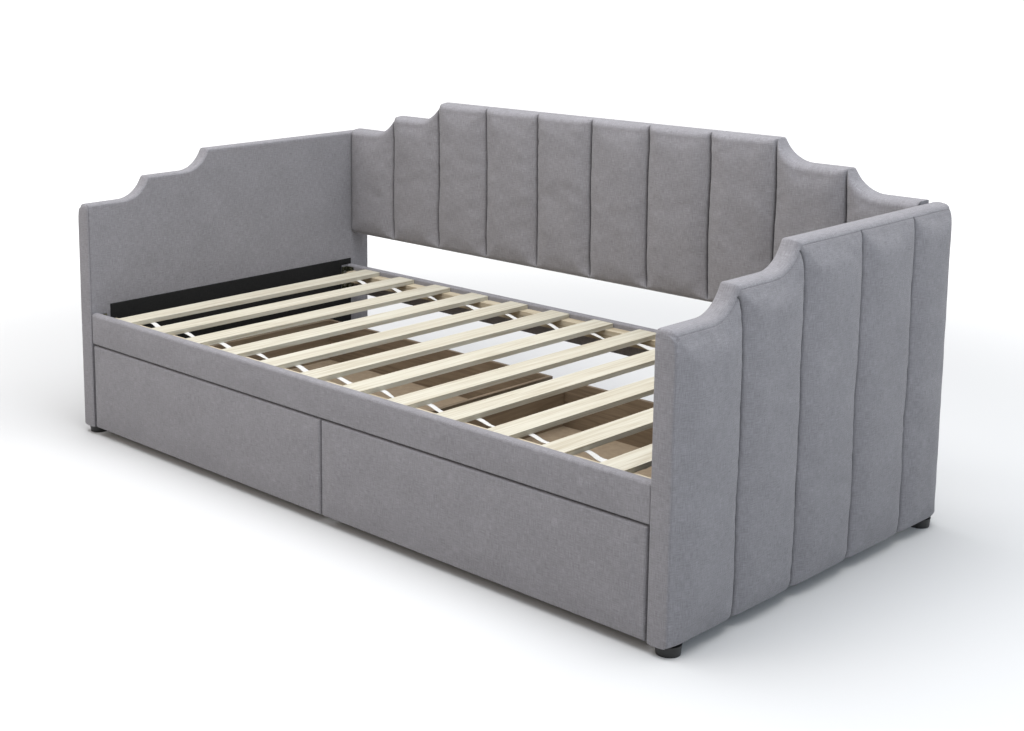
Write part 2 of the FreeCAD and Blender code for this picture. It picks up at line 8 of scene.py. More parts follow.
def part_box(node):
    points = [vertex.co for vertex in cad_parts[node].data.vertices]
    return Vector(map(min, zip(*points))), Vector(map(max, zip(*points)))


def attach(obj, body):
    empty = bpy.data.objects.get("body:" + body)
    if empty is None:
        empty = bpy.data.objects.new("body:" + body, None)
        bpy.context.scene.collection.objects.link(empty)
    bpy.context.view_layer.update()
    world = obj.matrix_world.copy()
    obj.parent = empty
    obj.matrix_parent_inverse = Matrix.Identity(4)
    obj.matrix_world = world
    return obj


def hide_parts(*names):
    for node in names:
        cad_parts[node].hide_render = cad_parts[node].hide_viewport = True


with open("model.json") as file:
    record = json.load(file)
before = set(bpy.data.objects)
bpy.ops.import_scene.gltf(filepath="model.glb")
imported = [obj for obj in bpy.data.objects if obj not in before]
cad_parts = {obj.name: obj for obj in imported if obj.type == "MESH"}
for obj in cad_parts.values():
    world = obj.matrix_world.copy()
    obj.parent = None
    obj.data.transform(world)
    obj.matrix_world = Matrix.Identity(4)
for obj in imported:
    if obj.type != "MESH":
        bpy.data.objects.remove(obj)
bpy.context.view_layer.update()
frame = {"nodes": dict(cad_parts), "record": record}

MM = 0.001


# Curves, grids and meshes

def quarter_ellipse(distance, reach):
    """Nought at no distance, one from the reach on, along a quarter ellipse that starts upright."""
    part = np.clip(1 - distance / reach, 0, 1)
    return np.sqrt(1 - part ** 2)


def soft_fall(distance, reach):
    """One at no distance, nought from the reach on, along a quarter of a sine wave."""
    return 1 - np.sin(np.pi / 2 * np.clip(distance / reach, 0, 1))


def rounding(distance, radius):
    """How far a rounded edge has dropped: the radius at the edge, nought one radius in."""
    short = np.clip(radius - distance, 0, radius)
    return radius - np.sqrt(radius ** 2 - short ** 2)


def soft_least(first, second, softness):
    """The lesser of two heights, with the corner where they cross rounded off."""
    gap = np.abs(first - second)
    return np.minimum(first, second) - softness * np.log1p(np.exp(-gap / softness))


def soft_most(depths, power=4):
    """The greatest of several depths, blended smoothly: the root of their summed powers."""
    return sum(depth ** power for depth in depths) ** (1 / power)


def thin_line(distance, width):
    """One on a line, dying away exponentially to both sides of it."""
    return np.exp(-np.abs(distance) / width)


def ripples(across, up, length, seed):
    """Gentle unevenness about nought, seldom past one: twelve sine waves about one length long,
    each with its own direction and phase, added up and divided by five."""
    chance = np.random.default_rng(seed)
    total = np.zeros(np.broadcast(across, up).shape)
    for turn, phase, stretch in chance.uniform(0, 1, (12, 3)):
        wave = 2 * np.pi / (length * (0.7 + 0.8 * stretch))
        angle = 2 * np.pi * turn
        total += np.sin(wave * (across * np.cos(angle) + up * np.sin(angle)) + 2 * np.pi * phase)
    return total / 5


def spread(stops, fine, growth, coarse):
    """Places from the first stop to the last, with every stop among them. Their spacing is fine
    at a stop and grows with the distance from it, up to the coarse one."""
    places = [np.array(stops[:1], float)]
    for low, high in zip(stops[:-1], stops[1:]):
        along = np.linspace(low, high, 1501)
        near = np.minimum(along - low, high - along)
        density = 1 / np.minimum(fine + growth * near, coarse)
        total = np.concatenate([[0], np.cumsum((density[1:] + density[:-1]) / 2 * np.diff(along))])
        count = max(1, math.ceil(total[-1]))
        places.append(np.interp(np.linspace(0, total[-1], count + 1)[1:], total, along))
    return np.concatenate(places)


def distance_to(curve, across, up):
    """Distance from every grid point to a chain of points, to the nearest place on its links."""
    start, link = curve[:-1], np.diff(curve, axis=0)
    points = np.stack([across.ravel(), up.ravel()], axis=1)
    length = np.maximum((link ** 2).sum(axis=1), 1e-18)
    nearest = []
    for some in np.array_split(points, max(1, len(points) // 2000)):
        offset = some[:, None, :] - start[None]
        part = np.clip((offset * link).sum(axis=-1) / length, 0, 1)
        miss = offset - part[..., None] * link
        nearest.append(np.sqrt((miss ** 2).sum(axis=-1).min(axis=1)))
    return np.concatenate(nearest).reshape(across.shape)


def quads_between(numbers):
    """The quads of a grid of vertex numbers, row by row."""
    return np.stack(
        [numbers[:-1, :-1], numbers[:-1, 1:], numbers[1:, 1:], numbers[1:, :-1]], axis=-1
    ).reshape(-1, 4)


def ring_of(numbers):
    """The vertex numbers round a grid's edge: along its foot, up its end, back along its top."""
    return np.concatenate([numbers[0], numbers[1:, -1], numbers[-1, -2::-1], numbers[-2:0:-1, 0]])


def closed_quads(front, back, belt):
    """The quads of a closed slab: its front grid, its back grid turned round, and the belt that
    joins them round the edge."""
    belt = np.hstack([belt, belt[:, :1]])
    return np.concatenate([
        quads_between(front), quads_between(back)[:, ::-1], quads_between(belt)[:, ::-1],
    ])


def make_mesh(name, points, quads, values=None):
    """A mesh from whole arrays, turned outwards if its volume comes out negative, with a weave
    map in metres: each face's corners laid flat along the axis that it faces most."""
    corners = points[quads]
    middle = points.mean(axis=0)
    a, b, c, d = (corners[:, index] - middle for index in range(4))
    volume = ((a * np.cross(b, c)).sum() + (a * np.cross(c, d)).sum()) / 6
    if volume < 0:
        quads = quads[:, ::-1]
        corners = points[quads]
    mesh = bpy.data.meshes.new(name)
    mesh.vertices.add(len(points))
    mesh.vertices.foreach_set("co", points.astype(np.float32).ravel())
    mesh.loops.add(quads.size)
    mesh.loops.foreach_set("vertex_index", quads.astype(np.int32).ravel())
    mesh.polygons.add(len(quads))
    mesh.polygons.foreach_set("loop_start", np.arange(0, quads.size, 4, dtype=np.int32))
    mesh.polygons.foreach_set("use_smooth", np.ones(len(quads), bool))
    mesh.update(calc_edges=True)
    facing = np.cross(corners[:, 2] - corners[:, 0], corners[:, 3] - corners[:, 1])
    main = np.abs(facing).argmax(axis=1)
    kept = np.stack([np.where(main == 0, 1, 0), np.where(main == 2, 1, 2)], axis=1)
    flat = np.take_along_axis(corners, kept[:, None, :], axis=2)
    weave = mesh.uv_layers.new(name="weave")
    weave.data.foreach_set("uv", flat.astype(np.float32).ravel())
    for title, amount in (values or {}).items():
        attribute = mesh.attributes.new(title, "FLOAT", "POINT")
        attribute.data.foreach_set("value", amount.astype(np.float32).ravel())
    return mesh


def add_piece(name, mesh, body, material, replaced=()):
    """Puts a finished mesh in the scene, on its body, in place of CAD nodes."""
    piece = bpy.data.objects.new(name, mesh)
    bpy.context.scene.collection.objects.link(piece)
    mesh.materials.append(material)
    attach(piece, body)
    if replaced:
        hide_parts(*replaced)
    return piece


# Cloth blown out over a pad

BLOWN_FRAMES = 20
HELD_WITHIN = 5 * MM


def looseness(gaps, reach):
    """Nought near a seam or an edge, and one from the reach past that. gaps are the distances."""
    return (np.minimum.reduce(gaps) - HELD_WITHIN) / reach


class Swelling:
    """How far a pad's cloth stands off it, over a regular grid. A flat sheet, cut a little too
    big and held where loose is nought, is blown out by the cloth simulation for twenty frames.
    excess is its spare size as a share, and push the air's pressure. The height levels off below
    most, along a hyperbolic tangent."""

    def __init__(self, low, high, loose, excess, push, most, step=12 * MM):
        across = np.linspace(low[0], high[0], round((high[0] - low[0]) / step) + 1)
        up = np.linspace(low[1], high[1], round((high[1] - low[1]) / step) + 1)
        self.start = across[0], up[0]
        self.step = across[1] - across[0], up[1] - up[0]
        along, rise = np.meshgrid(across, up)
        held = np.round(1 - np.clip(loose(along, rise), 0, 1), 1)
        sheet = self.cut(along, rise, held)
        self.dress(sheet, excess, push)
        scene = bpy.context.scene
        for number in range(1, BLOWN_FRAMES + 1):
            scene.frame_set(number)
        blown = sheet.evaluated_get(bpy.context.evaluated_depsgraph_get())
        moved = np.empty(3 * along.size)
        blown.data.vertices.foreach_get("co", moved)
        blown_out = np.abs(moved.reshape(-1, 3)[:, 1]).reshape(along.shape)
        self.height = most * np.tanh(blown_out / most)
        scene.frame_set(1)
        bpy.data.objects.remove(sheet)

    def cut(self, along, rise, held):
        """The flat sheet, with how firmly each point is held, in ten steps, as a vertex group."""
        points = np.stack([along, 0 * along, rise], axis=-1).reshape(-1, 3)
        quads = quads_between(np.arange(along.size).reshape(along.shape))
        mesh = bpy.data.meshes.new("blown_sheet")
        mesh.from_pydata(points.tolist(), [], quads.tolist())
        sheet = bpy.data.objects.new("blown_sheet", mesh)
        bpy.context.scene.collection.objects.link(sheet)
        group = sheet.vertex_groups.new(name="held")
        for level in np.unique(held):
            group.add(np.flatnonzero(held == level).tolist(), float(level), "REPLACE")
        return sheet

    def dress(self, sheet, excess, push):
        """The cloth's weight, stiffness, spare size and the air that pushes it."""
        cloth = sheet.modifiers.new("cloth", "CLOTH")
        cloth.collision_settings.use_collision = False
        cloth.point_cache.frame_start, cloth.point_cache.frame_end = 1, BLOWN_FRAMES
        settings = cloth.settings
        settings.quality = 5
        settings.mass = 0.2
        settings.tension_stiffness = settings.compression_stiffness = 15
        settings.shear_stiffness = 5
        settings.bending_stiffness = 0.3
        settings.air_damping = 3
        settings.use_pressure = True
        settings.uniform_pressure_force = push
        settings.shrink_min = -excess
        settings.vertex_group_mass = "held"
        settings.effector_weights.gravity = 0

    def at(self, across, up):
        """The height at any places, smoothed between grid points by a quadratic spline: each
        place is a weighted mean of the nine grid points round it."""
        total = 0
        place = [(across - self.start[0]) / self.step[0], (up - self.start[1]) / self.step[1]]
        near = [np.round(part).astype(int) for part in place]
        past = [np.clip(part - whole, -0.5, 0.5) for part, whole in zip(place, near)]
        sides, rises = [((0.5 - t) ** 2 / 2, 0.75 - t * t, (0.5 + t) ** 2 / 2) for t in past]
        for right in (-1, 0, 1):
            for above in (-1, 0, 1):
                column = np.clip(near[0] + right, 0, self.height.shape[1] - 1)
                row = np.clip(near[1] + above, 0, self.height.shape[0] - 1)
                total = total + sides[right + 1] * rises[above + 1] * self.height[row, column]
        return total


# Upholstered panels

CHANNEL_DEPTH = 17 * MM    # how far a seam lies below the crown of its channels
SEAM_CUT = 1.7 * MM        # a seam's drawn-in line dies away over this much
ARC = 85 * MM              # the length of each arc in a stepped top
INSIDE = 40 * MM           # unevenness grows to its full height this far in from the edges
BROAD, SHORT = 130 * MM, 45 * MM    # the two lengths of the cloth's unevenness
SMOOTH = 160 * MM          # and the one length of a plain face's
WANDER, PHASE = 62 * MM, 37         # a seam's slow wave, and how its start varies with the place


def rounded_off(edges):
    """A face's drop at its rounded edges, given as (distance, radius) pairs: the greatest one."""
    return np.maximum.reduce([rounding(distance, radius) for distance, radius in edges])


def outward(across, up):
    """Unit directions out of a closed loop of points that runs anticlockwise: each point's run
    from the one before to the one after, turned a quarter clockwise."""
    run_a = np.roll(across, -1) - np.roll(across, 1)
    run_z = np.roll(up, -1) - np.roll(up, 1)
    size = np.maximum(np.hypot(run_a, run_z), 1e-9)
    return run_z / size, -run_a / size


def padded_slab(across, up, face, plain, place, crown=1.5 * MM, rows=7, groove=None, crease_shade=None,
                stitch=None):
    """A closed panel between two height maps over one grid. The face map and the plain map are
    joined round the grid's edge by a strip that bows outwards by the crown, as half a sine wave.
    groove pulls the strip in where a seam crosses it. place turns (across, up, thickness) arrays
    into the three coordinates. crease holds the painted shade in the two faces' folds, as how dark
    each point is, and stitch the face points' distance from a row of stitches and their place along
    it."""
    shape = across.shape
    count = across.size
    front = np.arange(count).reshape(shape)
    back = front + count
    ring = ring_of(front)
    ring_across, ring_up = across.ravel()[ring], up.ravel()[ring]
    out_a, out_z = outward(ring_across, ring_up)
    part = (np.arange(1, rows + 1) / (rows + 1))[:, None]
    thick = face.ravel()[ring] * (1 - part) + plain.ravel()[ring] * part
    bow = crown * np.sin(np.pi * part) * np.ones_like(ring_across)
    if groove is not None:
        bow = bow - groove(ring_across, ring_up) * np.sin(np.pi * np.clip(part * 0.9 + 0.1, 0, 1))
    strip_a = ring_across + out_a * bow
    strip_z = ring_up + out_z * bow
    strip = 2 * count + np.arange(rows * ring.size).reshape(rows, ring.size)
    quads = closed_quads(front, back, np.vstack([ring, strip, ring + count]))
    points = np.stack(
        place(
            np.concatenate([across.ravel(), across.ravel(), strip_a.ravel()]),
            np.concatenate([up.ravel(), up.ravel(), strip_z.ravel()]),
            np.concatenate([face.ravel(), plain.ravel(), thick.ravel()]),
        ),
        axis=1,
    )
    dark = np.zeros(len(points))
    far, run = np.ones(len(points)), np.zeros(len(points))
    # Painted shade in the folds, kept on the points for the cloth's colour.
    if crease_shade is not None:
        dark[:count] = crease_shade[0].ravel()
        dark[count:2 * count] = crease_shade[1].ravel()
    if stitch is not None:
        far[:count] = stitch[0].ravel()
        run[:count] = stitch[1].ravel()
    return points, quads, {"crease_shade": dark, "stitch_far": far, "stitch_run": run}


def climbing_top(levels, starts, sweep):
    """The height of a panel's top along it: flat levels joined by arcs that leave the lower level
    flat and meet the upper one at a softened corner."""
    def top(along):
        height = np.full_like(along, levels[0])
        for low, high, start in zip(levels[:-1], levels[1:], starts):
            rise = high - low
            radius = (sweep ** 2 + rise ** 2) / (2 * rise)
            past = np.clip(along - start, 0, radius * 0.999)
            arc = low + radius - np.sqrt(radius ** 2 - past ** 2)
            arc = np.where(along - start > radius * 0.999, high + radius, arc)
            height = np.where(along < start, height, soft_least(arc, high, 4 * MM))
        return height
    return top


class Seam:
    """A sewn line up a channelled face: its place, how far it leans at its top and its foot and
    over what reach that dies away, how far below the top the lean starts, and how far the line
    wanders between its ends."""

    def __init__(self, place, lean_top, reach_top, lean_foot, reach_foot, starts_below, wander):
        self.place = place
        self.lean_top = lean_top
        self.reach_top = reach_top
        self.lean_foot = lean_foot
        self.reach_foot = reach_foot
        self.starts_below = starts_below
        self.wander = wander

    def lean(self, below_top, above_foot):
        """Sideways lean: an exponential that dies away from each end, and a slow sine wave."""
        top = self.lean_top * np.exp(-np.maximum(below_top - self.starts_below, 0) / self.reach_top)
        foot = self.lean_foot * np.exp(-above_foot / self.reach_foot)
        slow = self.wander * np.sin(above_foot / WANDER + self.place * PHASE)
        return top + foot + slow

    def lean_along(self, share, foot, top_of):
        """The lean at shares of the way from the foot to the top."""
        height = top_of(np.array([self.place]))[0] - foot
        return self.lean((1 - share) * height, share * height)

    def gap(self, across, up, foot, top_of):
        """How far any places are to the side of the seam."""
        top = top_of(np.array([self.place]))[0]
        return np.abs(across - self.place - self.lean(top - up, np.maximum(up - foot, 0)))


def channel_grid(columns, rows, seams, foot, top_of):
    """Grid places for a channelled face. Each row is a share of the way from the foot to the top,
    and the columns near a seam lean with it."""
    share = rows[:, None]
    along = columns[None, :] * np.ones_like(share)
    for seam in seams:
        near = np.clip(1 - np.abs(columns - seam.place) / (80 * MM), 0, 1)[None, :]
        near = near * near * (3 - 2 * near)
        along = along + near * seam.lean_along(share, foot, top_of)
    up = foot + share * (top_of(along) - foot)
    return along, up


def seam_distances(rows, seams, foot, top_of, along):
    """How far each grid point is to the side of each seam."""
    share = rows[:, None]
    return [along - seam.place - seam.lean_along(share, foot, top_of) for seam in seams]


def puckers(apart, up, seed, depth=1.2 * MM):
    """Short folds across a seam that the stitches draw in: waves along it that die out sideways."""
    wave = ripples(up * 1.0, apart * 0.4, 26 * MM, seed)
    return depth * wave * thin_line(apart, 16 * MM) * (1 - thin_line(apart, 2 * MM))


def cloth_waves(along, up, broad, short, seed):
    """A face's unevenness: broad waves and short ones, each of its own height."""
    return broad * ripples(along, up, BROAD, seed) + short * ripples(along, up, SHORT, seed + 1)


def make_side_cover(side):
    """A side panel: five padded channels outside, a plain face inside, and a boxing strip between
    them whose top is rounded down to the seams."""
    node = f"{side}_side_cover"
    low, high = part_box(node)
    way = 1 if side == "right" else -1
    inner = min(abs(low.x), abs(high.x))
    thickness = high.x - low.x
    depth = high.y
    foot = low.z + 0.3 * MM
    arc_starts = (-413 * MM, -197 * MM)
    top_of = climbing_top((high.z - 118 * MM, high.z - 59 * MM, high.z), arc_starts, ARC)

    def top_rounded(along):
        """The stepped top, dropped along a quarter circle at its two ends."""
        from_end = np.minimum(along + depth, depth - along)
        return top_of(along) - rounding(np.maximum(from_end, 0), 9 * MM)

    seams = [
        Seam(-309 * MM, -27 * MM, 28 * MM, -8 * MM, 18 * MM, 12 * MM, 1.2 * MM),
        Seam(-90 * MM, -28 * MM, 32 * MM, -9 * MM, 18 * MM, 12 * MM, 1.4 * MM),
        Seam(138 * MM, -4 * MM, 25 * MM, -11 * MM, 20 * MM, 14 * MM, 1.6 * MM),
        Seam(362 * MM, -4 * MM, 25 * MM, -11 * MM, 20 * MM, 14 * MM, 1.4 * MM),
    ]
    top_seam, front_seam, rear_seam = 12 * MM, 3 * MM, 4 * MM
    stops = [-depth, arc_starts[0], *(seam.place for seam in seams), depth]
    columns = spread(stops, 0.7 * MM, 0.16, 9 * MM)
    height = top_of(np.zeros(1))[0] - foot
    rows = spread([0, 1 - top_seam / height, 1], 0.8 * MM / height, 0.14, 10 * MM / height)
    along, up = channel_grid(columns, rows, seams, foot, top_rounded)
    from_top = distance_to(np.stack([along[-1], up[-1]], axis=1), along, up)
    from_front = along + depth
    from_rear = depth - along
    from_foot = up - foot
    inside = quarter_ellipse(
        np.minimum.reduce([from_top, from_front, from_rear, from_foot]), INSIDE
    )

    edge = rounded_off([
        (from_top, 19 * MM), (from_front, 5 * MM), (from_rear, 7 * MM), (from_foot, 11 * MM),
    ])
    pillow = [
        13 * MM * soft_fall(from_top - top_seam, 66 * MM),
        11 * MM * soft_fall(from_front - front_seam, 70 * MM),
        10 * MM * soft_fall(from_rear - rear_seam, 60 * MM),
        5 * MM * soft_fall(from_foot, 45 * MM),
    ]
    on_face = from_top > top_seam
    # Painted shade: dark lines in the folds along the top seam and the front and rear seams of the
    # outer face.
    dark = np.maximum.reduce([
        0.38 * thin_line(from_top - top_seam, 1.0 * MM),
        0.22 * thin_line(from_front - front_seam, 0.9 * MM) * on_face,
        0.45 * thin_line(from_rear - rear_seam, 0.9 * MM) * on_face,
    ])
    cut_in = 1.6 * MM * dark
    live = quarter_ellipse(np.maximum(from_top - top_seam + 2 * MM, 0), 26 * MM)
    channel = (58 + 14 * np.exp(-from_foot / (60 * MM))) * MM
    fold = np.zeros_like(up)
    for number, away in enumerate(seam_distances(rows, seams, foot, top_of, along)):
        pillow.append(CHANNEL_DEPTH * (1 - quarter_ellipse(np.abs(away), channel)) * live)
        # Painted shade down each seam's line, as well as the cut-in groove.
        line = thin_line(away, SEAM_CUT) * (from_top > top_seam - 1 * MM)
        cut_in = np.maximum(cut_in, 4 * MM * line)
        dark = np.maximum(dark, line)
        fold = fold + puckers(away, up, 10 + number) * live

    def loose(a, z):
        """Nought at the seams and the edges, one from 30 mm off them."""
        edges = [top_rounded(a) - z - top_seam, a + depth, depth - a, z - foot]
        return looseness([seam.gap(a, z, foot, top_of) for seam in seams] + edges, 25 * MM)

    swelling = Swelling((-depth, foot), (depth, high.z), loose, 0.008, 1.2, 9 * MM)
    uneven = cloth_waves(along, up, 1.3 * MM, 0.45 * MM, 3)
    crown = thickness + 4 * MM
    face = crown - soft_most(pillow) - edge - cut_in + swelling.at(along, up)
    face = face + (uneven + fold) * inside

    # Painted shade in the plain face's folds, below its top edge and beside its front edge.
    plain_dark = np.maximum(
        0.25 * thin_line(from_top - 7 * MM, 0.8 * MM),
        0.6 * thin_line(from_front - 4 * MM, 1.1 * MM),
    )
    plain = rounded_off([
        (from_top, 9 * MM), (from_front, 5 * MM), (from_rear, 5 * MM), (from_foot, 2 * MM),
    ])
    smooth = 0.25 * MM * (1 + ripples(along, up, SMOOTH, 5)) * inside
    plain = plain + 1.0 * MM * plain_dark + smooth

    def place(a, z, t):
        """The cover stands on its panel's inner face and grows away from the bed."""
        return way * (inner + t), a, z

    points, quads, values = padded_slab(
        along, up, face, plain, place, crown=1.0 * MM, crease_shade=(dark, plain_dark),
        stitch=(from_top - top_seam - 2.6 * MM, along + up),
    )
    mesh = make_mesh(f"{side}_side_upholstery", points, quads, values)
    piece = add_piece(f"{side}_side_upholstery", mesh, "bed_frame", linen, [node])
    return piece


def make_back_cover():
    """The back panel: ten padded channels whose seams run over the rounded top."""
    low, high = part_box("back_cover")
    half = high.x
    thickness = high.y - low.y
    foot = low.z
    levels = (high.z - 112 * MM, high.z - 56 * MM, high.z)
    outline = climbing_top(levels, (-858 * MM, -663 * MM), ARC)

    def top_of(along):
        """The stepped top, the same to both sides of the middle."""
        return outline(-np.abs(along))

    middle = (0, 192 * MM, 387 * MM, 581 * MM, 775.7 * MM)
    seams = [
        Seam(sign * x, -3 * MM, 40 * MM, 9 * MM, 30 * MM, 0, 1.5 * MM)
        for x in middle for sign in ((1,) if x == 0 else (-1, 1))
    ]
    seams.sort(key=lambda seam: seam.place)
    columns = spread([-half, *(seam.place for seam in seams), half], 0.7 * MM, 0.17, 9 * MM)
    height = high.z - foot
    rows = spread([0, 1], 0.9 * MM / height, 0.14, 10 * MM / height)
    along, up = channel_grid(columns, rows, seams, foot, top_of)
    from_top = distance_to(np.stack([along[-1], up[-1]], axis=1), along, up)
    from_end = half - np.abs(along)
    from_foot = up - foot
    inside = quarter_ellipse(np.minimum.reduce([from_top, from_end, from_foot]), INSIDE)

    edge = rounded_off([(from_top, 18 * MM), (from_end, 6 * MM), (from_foot, 17 * MM)])
    pillow = [
        5 * MM * (1 - quarter_ellipse(from_top, 60 * MM)),
        7 * MM * (1 - quarter_ellipse(from_end, 60 * MM)),
        6 * MM * (1 - quarter_ellipse(from_foot, 60 * MM)),
    ]
    live = quarter_ellipse(from_top, 30 * MM)
    live = live * quarter_ellipse(np.maximum(from_foot - 8 * MM, 0), 30 * MM)
    cut_in = np.zeros_like(up)
    # Painted shadow: a dark line along each end, where the panel meets the side panels.
    dark = 0.85 * thin_line(from_end, 1.8 * MM)
    fold = np.zeros_like(up)
    for number, away in enumerate(seam_distances(rows, seams, foot, top_of, along)):
        channel = 1 - quarter_ellipse(np.abs(away), 62 * MM)
        pillow.append(CHANNEL_DEPTH * channel * (0.12 + 0.88 * live))
        # Painted shade down each seam's line, fainter where the channel flattens.
        line = thin_line(away, SEAM_CUT)
        cut_in = cut_in + 4.5 * MM * line * (0.2 + 0.8 * live)
        dark = np.maximum(dark, line * (0.15 + 0.85 * live))
        fold = fold + puckers(away, up, 40 + number) * live

    def loose(a, z):
        """Nought at the seams and the edges, one from 30 mm off them."""
        edges = [top_of(a) - z - 10 * MM, half - np.abs(a), z - foot]
        return looseness([seam.gap(a, z, foot, top_of) for seam in seams] + edges, 25 * MM)

    swelling = Swelling((-half, foot), (half, high.z), loose, 0.004, 0.6, 6 * MM)
    uneven = cloth_waves(along, up, 1.2 * MM, 0.45 * MM, 31)
    crown = thickness + 3 * MM
    face = crown - soft_most(pillow) - edge - cut_in + swelling.at(along, up)
    face = face + (uneven + fold) * inside

    # Painted shade in the plain face's fold below its top edge.
    plain_dark = 0.75 * thin_line(from_top - 5 * MM, 0.8 * MM)
    plain = rounded_off([(from_top, 6 * MM), (from_end, 4 * MM), (from_foot, 5 * MM)])
    smooth = 0.4 * MM * (1 + ripples(along, up, SMOOTH, 33)) * inside
    plain = plain + 1.0 * MM * plain_dark + smooth

    def groove(a, z):
        """The seams' shallow lines over the strip."""
        return sum(1.3 * MM * thin_line(a - seam.place, 1.4 * MM) for seam in seams)

    def place(a, z, t):
        """The cover stands on its board and grows towards the front."""
        return a, high.y - t, z

    points, quads, values = padded_slab(
        along, up, face, plain, place, crown=1.5 * MM, groove=groove, crease_shade=(dark, plain_dark),
        stitch=(from_foot - 9 * MM, along),
    )
    mesh = make_mesh("back_upholstery", points, quads, values)
    piece = add_piece("back_upholstery", mesh, "bed_frame", linen, ["back_cover"])
    return piece


def make_bolster(name, node, outer_way, edges, inner_edges, crown, seed, body, lap=None):
    """A padded board with a flat outline: a crowned outer face over rounded edges. edges are the
    outer face's radii at its ends, foot and top, and inner_edges those of the inner face. Where
    the board shows behind, the cloth laps over it by the lap and then steps in below its face."""
    low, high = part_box(node)
    thickness = high.y - low.y
    base = low.y if outer_way > 0 else high.y
    columns = spread([low.x, high.x], 0.8 * MM, 0.16, 11 * MM)
    rows = spread([low.z, high.z], 0.8 * MM, 0.16, 9 * MM)
    along, up = np.meshgrid(columns, rows)
    from_end = np.minimum(along - low.x, high.x - along)
    from_foot = up - low.z
    from_top = high.z - up
    distances = from_end, from_foot, from_top
    nearest = np.minimum.reduce(distances)
    inside = quarter_ellipse(nearest, 30 * MM)

    def loose(a, z):
        """Nought at the edges, one from 35 mm off them."""
        return looseness([a - low.x, high.x - a, z - low.z, high.z - z], 30 * MM)

    swelling = Swelling((low.x, low.z), (high.x, high.z), loose, 0.004, 0.6, 4 * MM)
    uneven = 0.5 * MM * ripples(along, up, 120 * MM, seed)
    uneven = uneven + 0.25 * MM * ripples(along, up, 40 * MM, seed + 1)
    edge = soft_most([rounding(gap, radius) for gap, radius in zip(distances, edges)])
    raised = crown * (quarter_ellipse(nearest, 60 * MM) - 0.3)
    face = thickness + raised - edge + swelling.at(along, up) + uneven * inside
    plain = soft_most([rounding(gap, radius) for gap, radius in zip(distances, inner_edges)])
    if lap is not None:
        proud, step_in, slope = 0.6 * MM, 1.4 * MM, 1.5 * MM
        plain = plain - proud + step_in * np.clip((nearest - lap) / slope, 0, 1)

    def place(a, z, t):
        """The cover stands on its inner face and grows outwards."""
        return a, base + outer_way * t, z

    points, quads, values = padded_slab(along, up, face, plain, place, crown=0.6 * MM)
    mesh = make_mesh(name, points, quads, values)
    piece = add_piece(name, mesh, body, linen, [node])
    return piece


# Cloth sheets and tapes

def sheet_points(columns, rows, bulge, thickness, place):
    """A thin closed sheet over a grid: two layers a thickness apart that share the bulge map."""
    along, up = np.meshgrid(columns, rows)
    rise = bulge(along, up)
    count = along.size
    front = np.arange(count).reshape(along.shape)
    ring = ring_of(front)
    quads = closed_quads(front, front + count, np.vstack([ring, ring + count]))
    points = np.stack(
        place(
            np.concatenate([along.ravel(), along.ravel()]),
            np.concatenate([up.ravel(), up.ravel()]),
            np.concatenate([(rise + thickness).ravel(), rise.ravel()]),
        ),
        axis=1,
    )
    return points, quads


def make_dust_cloth(side):
    """Black cloth stapled to a side panel: a sheet with shallow ripples, cut out round the rear
    rail. Its rim is every edge that only one quad uses."""
    node = f"{side}_dust_cloth"
    low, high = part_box(node)
    way = 1 if side == "right" else -1
    face = max(abs(low.x), abs(high.x))
    rail_low, rail_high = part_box("rear_rail_cover")
    bracket_arm, room = 26 * MM, 2 * MM
    notch_y, notch_low, notch_high = rail_low.y - bracket_arm, rail_low.z - room, rail_high.z + room
    columns = spread([low.y, notch_y, high.y], 4 * MM, 0.2, 14 * MM)
    rows = spread([low.z, notch_low, notch_high, high.z], 4 * MM, 0.2, 14 * MM)
    along, up = np.meshgrid(columns, rows)
    count = along.size
    number = np.arange(count).reshape(along.shape)
    inside = np.minimum.reduce([along - low.y, high.y - along, up - low.z, high.z - up])
    lift = 0.8 * MM * (1 + ripples(along, up, 90 * MM, 61)) * np.clip(inside / (25 * MM), 0, 1) / 2
    quads = quads_between(number)
    middle_y = along.ravel()[quads].mean(axis=1)
    middle_z = up.ravel()[quads].mean(axis=1)
    kept = ~((middle_y > notch_y) & (middle_z > notch_low) & (middle_z < notch_high))
    quads = quads[kept]
    edges = np.concatenate([quads[:, [0, 1]], quads[:, [1, 2]], quads[:, [2, 3]], quads[:, [3, 0]]])
    key = np.sort(edges, axis=1)
    _, first, uses = np.unique(key, axis=0, return_index=True, return_counts=True)
    rim = edges[first[uses == 1]]
    walls = np.stack([rim[:, 1], rim[:, 0], rim[:, 0] + count, rim[:, 1] + count], axis=1)
    all_quads = np.concatenate([quads, quads[:, ::-1] + count, walls])
    thickness = 0.7 * MM
    back_x = way * (face + 0 * along)
    front_x = way * (face - thickness - lift)
    points = np.stack(
        [
            np.concatenate([front_x.ravel(), back_x.ravel()]),
            np.tile(along.ravel(), 2),
            np.tile(up.ravel(), 2),
        ],
        axis=1,
    )
    used, all_quads = np.unique(all_quads, return_inverse=True)
    mesh = make_mesh(f"{side}_black_cloth", points[used], all_quads.reshape(-1, 4))
    piece = add_piece(f"{side}_black_cloth", mesh, "bed_frame", black_cloth, [node])
    return piece


